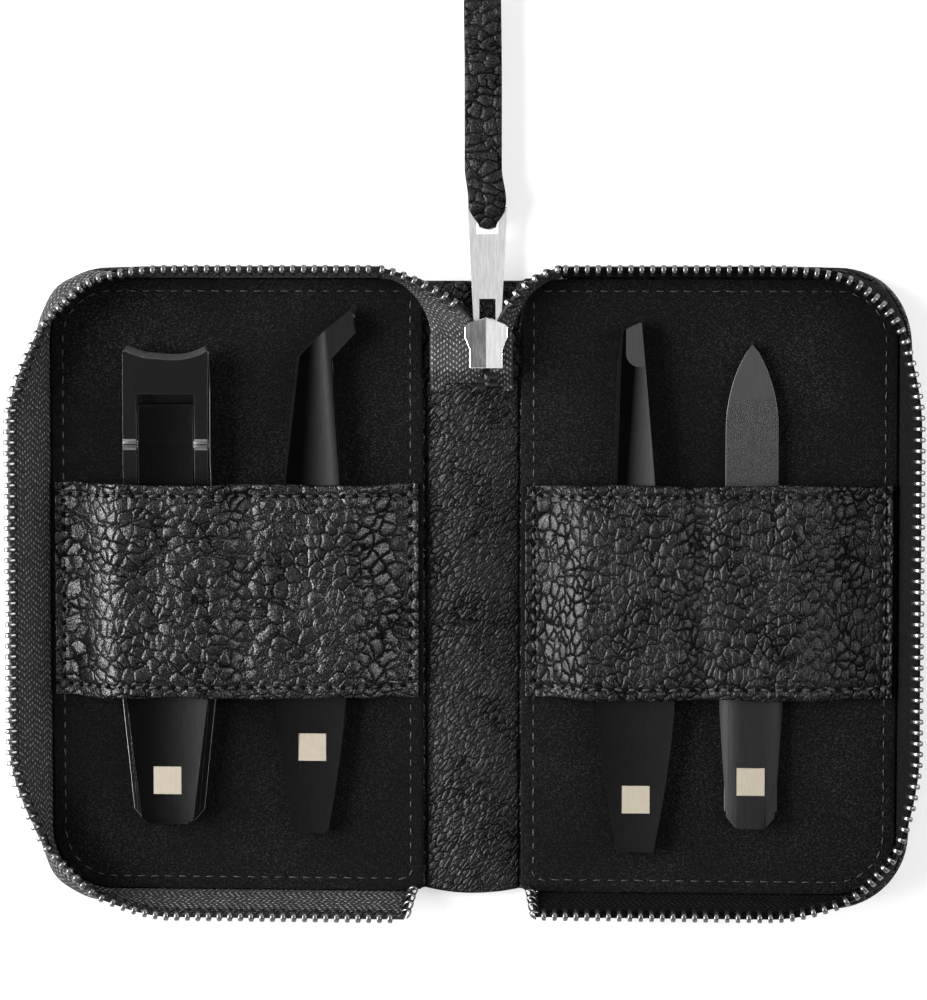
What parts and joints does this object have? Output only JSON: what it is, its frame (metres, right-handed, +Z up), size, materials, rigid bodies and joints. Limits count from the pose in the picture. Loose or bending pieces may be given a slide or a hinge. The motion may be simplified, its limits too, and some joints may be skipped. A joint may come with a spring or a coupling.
{
  "type": "manicure set case",
  "caption": "Zipped leather case that folds open flat, with a nail clipper, angled and slant tweezers and a nail file held under leather bands.",
  "frame": {"origin": "centre of the underside of the spine, on the surface the open case lies on", "axes": "+X across the spine towards the tweezers and file tray, +Y along the spine towards the slider, +Z up out of the trays"},
  "size_m": [0.164, 0.1644, 0.011],
  "materials": {
    "leather": "pebbled, satin",
    "suede": "matte suede",
    "tape": "woven",
    "board": "pressed board",
    "nickel": "polished nickel",
    "black_steel": "satin black coating on steel",
    "grit": "fine grit",
    "inlay": "satin champagne"
  },
  "bodies": {
    "spine": {"spine_leather": "leather", "spine_strip": "leather", "spine_zip_tape": "tape", "closed_teeth": "nickel"},
    "left_cover": {"left_outer_leather": "leather", "left_edge_wall": "leather", "left_board": "board", "left_lining": "suede", "left_zip_tape": "tape", "left_zip_teeth": "nickel", "left_tool_band": "leather", "left_zip_end": "tape"},
    "right_cover": {"right_outer_leather": "leather", "right_edge_wall": "leather", "right_board": "board", "right_lining": "suede", "right_zip_tape": "tape", "right_zip_teeth": "nickel", "right_tool_band": "leather", "right_zip_end": "tape"},
    "slider": {"slider_body": "nickel"},
    "puller": {"puller": "nickel"},
    "strap": {"pull_strap": "leather"},
    "clipper": {"clipper_base_leaf": "black_steel", "clipper_upper_leaf": "black_steel", "clipper_axle": "nickel", "clipper_rivet": "black_steel"},
    "clipper_lever": {"clipper_lever": "black_steel", "clipper_inlay": "inlay"},
    "angled_tweezers": {"angled_rear_arm": "black_steel"},
    "angled_tweezers_front": {"angled_front_arm": "black_steel", "angled_inlay": "inlay"},
    "slant_tweezers": {"slant_rear_arm": "black_steel"},
    "slant_tweezers_front": {"slant_front_arm": "black_steel", "slant_inlay": "inlay"},
    "file": {"file_blade": "black_steel", "file_grit": "grit", "file_handle": "black_steel", "file_inlay": "inlay"}
  },
  "joints": [
    {"name": "left_fold", "type": "hinge", "parent": "spine", "child": "left_cover", "pos_m": [-0.0088, 0, 0.0016], "axis": [0, 1, 0], "range_deg": [0, 90], "deforming": ["left_zip_end"]},
    {"name": "right_fold", "type": "hinge", "parent": "spine", "child": "right_cover", "pos_m": [0.0088, 0, 0.0016], "axis": [0, -1, 0], "range_deg": [0, 90], "deforming": ["right_zip_end"]},
    {"name": "slider_slide", "type": "slide", "parent": "spine", "child": "slider", "axis": [0, 1, 0], "range_m": [0, 0.0015]},
    {"name": "puller_swing", "type": "hinge", "parent": "slider", "child": "puller", "pos_m": [0.0028, 0.0466, 0.00292], "axis": [-1, 0, 0], "range_deg": [-8, 0]},
    {"name": "strap_swing", "type": "hinge", "parent": "puller", "child": "strap", "pos_m": [0.0028, 0.0678, 0.00292], "axis": [-1, 0, 0], "range_deg": [-75, 0]},
    {"name": "clipper_slide", "type": "slide", "parent": "left_cover", "child": "clipper", "axis": [0, 1, 0], "range_m": [-0.0098, 0.0094]},
    {"name": "clipper_lever_lift", "type": "hinge", "parent": "clipper", "child": "clipper_lever", "pos_m": [-0.0546, 0.0256, 0.006], "axis": [-1, 0, 0], "range_deg": [0, 1.5]},
    {"name": "angled_tweezers_slide", "type": "slide", "parent": "left_cover", "child": "angled_tweezers", "axis": [0, 1, 0], "range_m": [-0.0081, 0.0023]},
    {"name": "angled_tweezers_squeeze", "type": "hinge", "parent": "angled_tweezers", "child": "angled_tweezers_front", "pos_m": [-0.0289, -0.038, 0.00405], "axis": [-1, 0, 0], "range_deg": [0, 0.75], "stiffness_Nm_per_rad": 2},
    {"name": "slant_tweezers_slide", "type": "slide", "parent": "right_cover", "child": "slant_tweezers", "axis": [0, 1, 0], "range_m": [-0.0052, 0.005]},
    {"name": "slant_tweezers_squeeze", "type": "hinge", "parent": "slant_tweezers", "child": "slant_tweezers_front", "pos_m": [0.0294, -0.0409, 0.00405], "axis": [-1, 0, 0], "range_deg": [0, 0.75], "stiffness_Nm_per_rad": 2},
    {"name": "file_slide", "type": "slide", "parent": "right_cover", "child": "file", "axis": [0, 1, 0], "range_m": [-0.0096, 0.009]}
  ]
}
